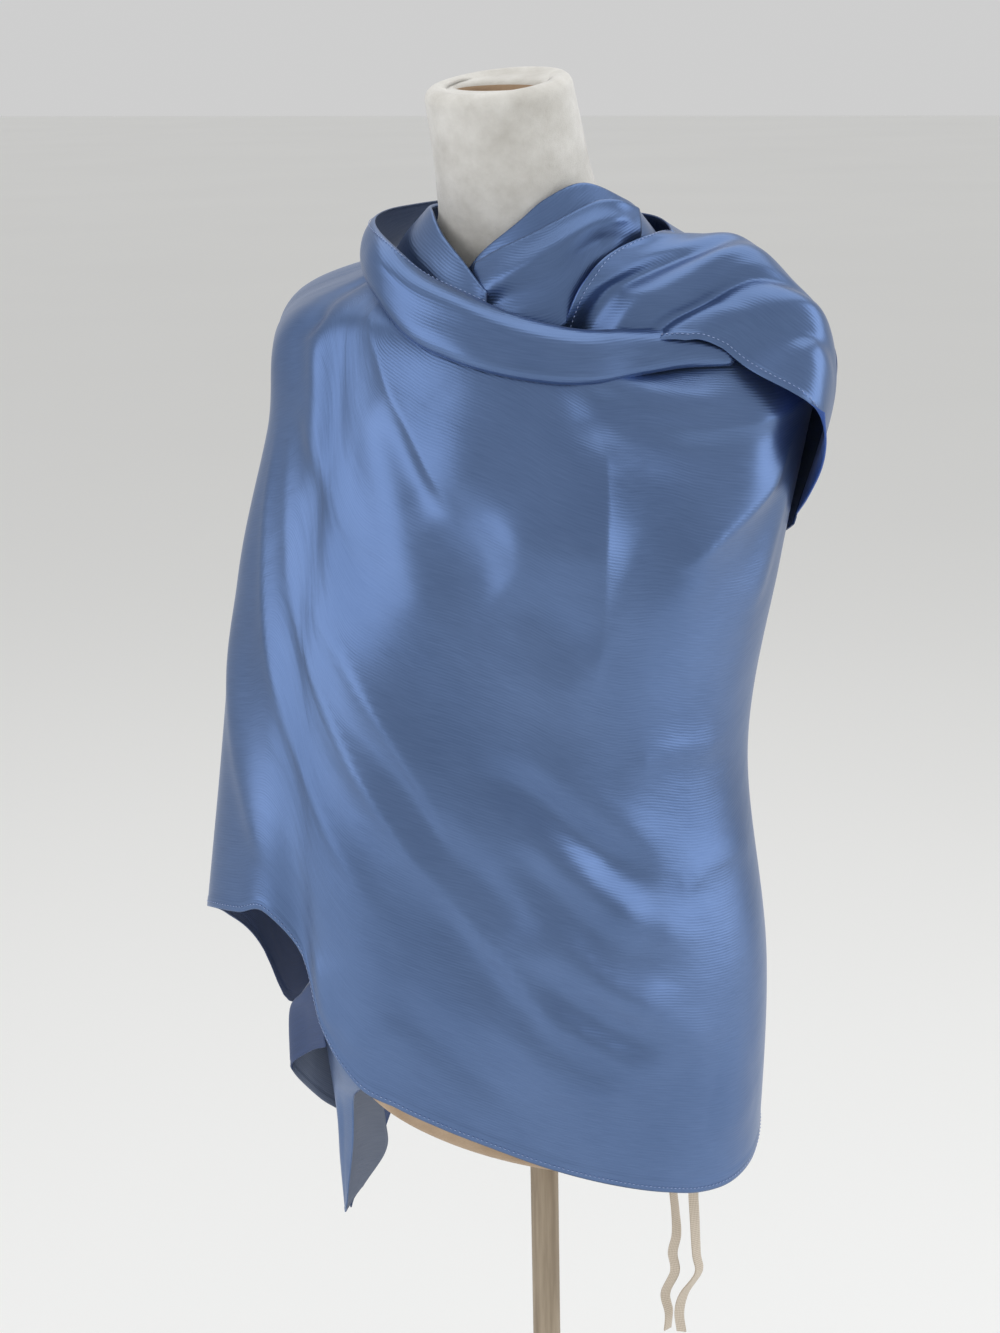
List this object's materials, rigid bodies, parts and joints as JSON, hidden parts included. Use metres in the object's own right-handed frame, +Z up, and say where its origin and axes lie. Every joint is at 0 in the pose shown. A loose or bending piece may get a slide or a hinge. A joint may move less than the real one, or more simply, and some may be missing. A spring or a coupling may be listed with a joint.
{
  "type": "evening stole on a dress form with a stand",
  "caption": "Long blue satin stole wound round a limbless dress form and over one shoulder, with a rolled cowl edge, on a pole with a round base.",
  "frame": {"origin": "centre of the base plate's underside, on the pole's axis", "axes": "+Z up, -Y the way the front of the dress form faces, +X toward the wearer's left"},
  "size_m": [0.4461, 0.3442, 1.5422],
  "materials": {
    "stole": "dusty blue satin-faced weave with a soft sheen",
    "stole_inside": "duller inside face of the same blue cloth",
    "jersey": "off-white stretch jersey over foam",
    "pole": "beige satin paint",
    "base": "beige satin paint",
    "tape": "undyed woven cotton tape"
  },
  "bodies": {
    "root": {"dress_form": "jersey", "pole": "pole", "pole_flange": "base", "base_plate": "base", "tape_front": "tape", "tape_back": "tape", "front_panel": "stole", "back_panel": "stole", "under_panel": "stole_inside", "collar_roll": "stole", "collar_stand": "stole", "neck_wrap_left": "stole", "neck_wrap_right": "stole", "neck_fold": "stole", "end_cascade": "stole_inside", "tail_strip": "stole", "shoulder_flap": "stole"}
  },
  "joints": []
}
